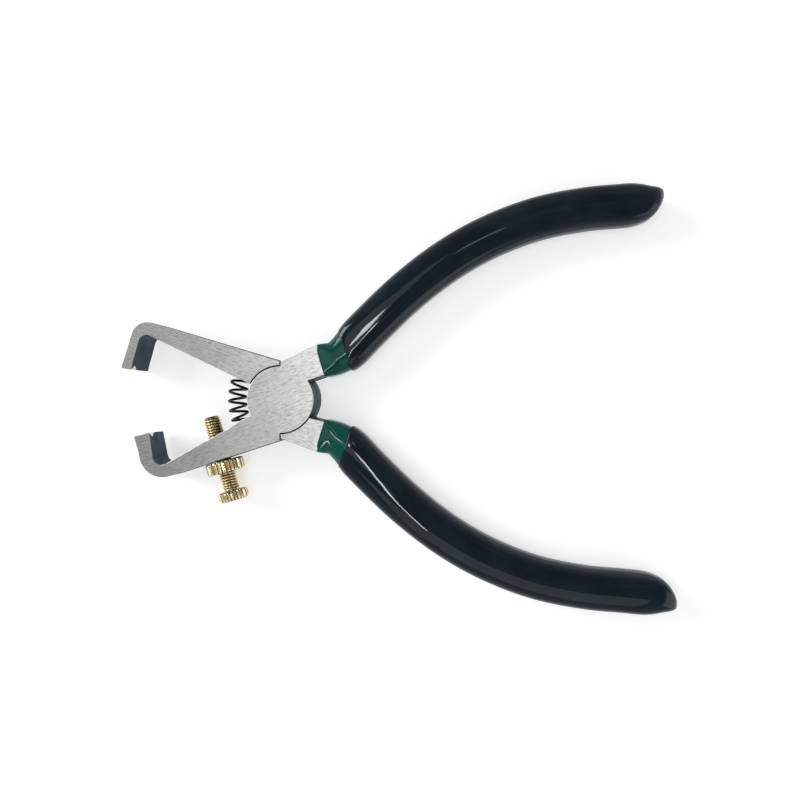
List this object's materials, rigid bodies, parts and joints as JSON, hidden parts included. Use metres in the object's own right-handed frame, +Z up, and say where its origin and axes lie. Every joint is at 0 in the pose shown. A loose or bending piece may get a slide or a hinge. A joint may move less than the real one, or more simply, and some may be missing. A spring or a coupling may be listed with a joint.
{
  "type": "wire stripper",
  "caption": "Adjustable end wire stripper: lapped steel levers with V-notched blades, bowed return spring, knurled stop screw with lock nut, and two-layer dipped grips.",
  "frame": {"origin": "on the pivot axis, at the flat underside of the hub, with the tool lying flat and open", "axes": "+X from the pivot towards the handles, +Y towards the upper jaw, +Z up along the pivot axis"},
  "size_m": [0.1609, 0.1251, 0.0106],
  "materials": {
    "brushed_steel": "ground bright flats with black-oxide edges",
    "rivet_steel": "ground flush with the hub",
    "spring_steel": "black oxide",
    "green_dip": "glossy dipped plastic",
    "black_dip": "glossy dipped plastic",
    "brass": "turned and knurled"
  },
  "bodies": {
    "front_half": {"front_lever": "brushed_steel", "pivot_rivet": "rivet_steel", "return_spring": "spring_steel", "front_grip_liner": "green_dip", "front_grip_sleeve": "black_dip"},
    "rear_half": {"rear_lever": "brushed_steel", "rear_grip_liner": "green_dip", "rear_grip_sleeve": "black_dip"},
    "adjusting_screw": {"screw_shank": "brass"},
    "screw_knob": {"screw_head": "brass"},
    "nut": {"lock_nut": "brass"}
  },
  "joints": [
    {"name": "jaw_pivot", "type": "hinge", "parent": "front_half", "child": "rear_half", "pos_m": [0, 0, 0.005], "axis": [0, 0, 1], "range_deg": [0, 31], "stiffness_Nm_per_rad": 0.2, "springref_deg": -20.05, "deforming": ["return_spring"]},
    {"name": "screw_travel", "type": "slide", "parent": "front_half", "child": "adjusting_screw", "axis": [-0.2756, 0.9613, 0], "range_m": [-0.0048, 0.0016]},
    {"name": "screw_turn", "type": "hinge", "parent": "adjusting_screw", "child": "screw_knob", "pos_m": [-0.01805, -0.0175, 0.005], "axis": [-0.2756, 0.9613, 0], "range_deg": [-2160, 720]},
    {"name": "nut_travel", "type": "slide", "parent": "front_half", "child": "nut", "axis": [0.2756, -0.9613, 0], "range_m": [0, 0.003]}
  ],
  "couplings": [
    {"joint": "screw_turn", "follows": "screw_travel", "rad_per_m": 7854}
  ]
}
